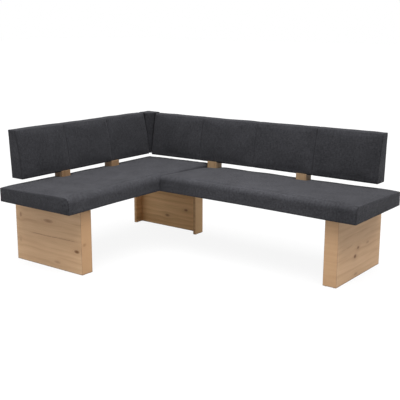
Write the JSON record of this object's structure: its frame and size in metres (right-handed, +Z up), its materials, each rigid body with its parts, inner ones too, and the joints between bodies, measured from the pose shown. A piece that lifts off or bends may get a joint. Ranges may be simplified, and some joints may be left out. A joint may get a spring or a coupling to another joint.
{
  "type": "corner bench",
  "caption": "L-shaped upholstered dining bench with padded, channel-sewn backs on short wooden posts and U-shaped oak slab legs.",
  "frame": {"origin": "on the floor, below the middle of the bench's box", "axes": "+X along the long wing away from the corner, -Y along the short wing away from the corner, +Z up"},
  "size_m": [1.9896, 1.4146, 0.82],
  "materials": {
    "anthracite_fabric": "matte heathered woven upholstery fabric",
    "oak_decor": "satin knotty oak decor, grain running along the board",
    "frame_wood": "raw planed softwood",
    "foam": "cut upholstery foam",
    "lining": "black spunbond lining",
    "zinc_steel": "zinc plated",
    "glide_plastic": "moulded plastic"
  },
  "bodies": {
    "root": {"back_inserts": "zinc_steel", "cleat_screws": "zinc_steel", "corner_core": "frame_wood", "corner_cover": "anthracite_fabric", "corner_foam": "foam", "corner_leg_cleat": "frame_wood", "corner_leg_front_board": "oak_decor", "corner_leg_panel": "oak_decor", "corner_leg_rear_board": "oak_decor", "corner_screws": "zinc_steel", "floor_glides": "glide_plastic", "joining_plates": "zinc_steel", "joining_screws": "zinc_steel", "left_leg_cleat": "frame_wood", "left_leg_front_board": "oak_decor", "left_leg_panel": "oak_decor", "left_leg_rear_board": "oak_decor", "long_back_bottom_rail": "frame_wood", "long_back_cover": "anthracite_fabric", "long_back_foam": "foam", "long_back_inner_post": "oak_decor", "long_back_lining": "lining", "long_back_outer_post": "oak_decor", "long_back_rear_board": "frame_wood", "long_back_ribs": "frame_wood", "long_back_top_rail": "frame_wood", "long_seat_cover": "anthracite_fabric", "long_seat_cross_rails": "frame_wood", "long_seat_deck": "frame_wood", "long_seat_foam": "foam", "long_seat_front_rail": "frame_wood", "long_seat_inner_end_rail": "frame_wood", "long_seat_lining": "lining", "long_seat_outer_end_rail": "frame_wood", "long_seat_rear_rail": "frame_wood", "panel_screws": "zinc_steel", "post_bolts": "zinc_steel", "post_washers": "zinc_steel", "right_leg_cleat": "frame_wood", "right_leg_front_board": "oak_decor", "right_leg_panel": "oak_decor", "right_leg_rear_board": "oak_decor", "short_back_bottom_rail": "frame_wood", "short_back_cover": "anthracite_fabric", "short_back_foam": "foam", "short_back_inner_post": "oak_decor", "short_back_lining": "lining", "short_back_outer_post": "oak_decor", "short_back_rear_board": "frame_wood", "short_back_ribs": "frame_wood", "short_back_top_rail": "frame_wood", "short_seat_corner_end_rail": "frame_wood", "short_seat_cover": "anthracite_fabric", "short_seat_cross_rails": "frame_wood", "short_seat_deck": "frame_wood", "short_seat_foam": "foam", "short_seat_front_rail": "frame_wood", "short_seat_lining": "lining", "short_seat_outer_end_rail": "frame_wood", "short_seat_rear_rail": "frame_wood"}
  },
  "joints": []
}
